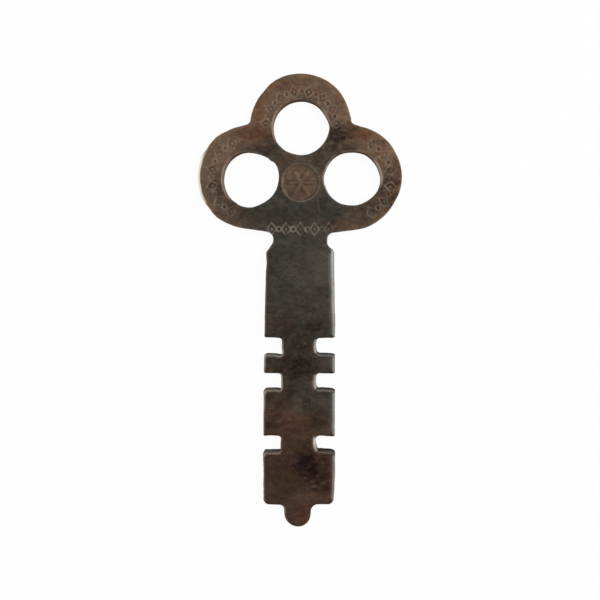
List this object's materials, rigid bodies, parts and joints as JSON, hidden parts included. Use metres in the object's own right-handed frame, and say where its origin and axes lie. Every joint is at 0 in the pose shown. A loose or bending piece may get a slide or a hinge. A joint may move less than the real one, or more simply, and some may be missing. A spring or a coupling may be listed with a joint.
{
  "type": "furniture key",
  "caption": "Flat steel furniture key: a trefoil bow pierced for a ring, a narrow neck, and a flat blade with opposed square notches and a rounded nib.",
  "frame": {"origin": "middle of the key's outline on its plain back face, which lies on the surface", "axes": "+Y from the nib to the top of the bow, +X to the right as the stamped face is seen, +Z out of the stamped face"},
  "size_m": [0.027, 0.0604, 0.0016],
  "materials": {
    "patinated_steel": "dark brown-grey worn patina, satin, brighter on the rolled edges"
  },
  "bodies": {
    "root": {"flat_key": "patinated_steel"}
  },
  "joints": []
}
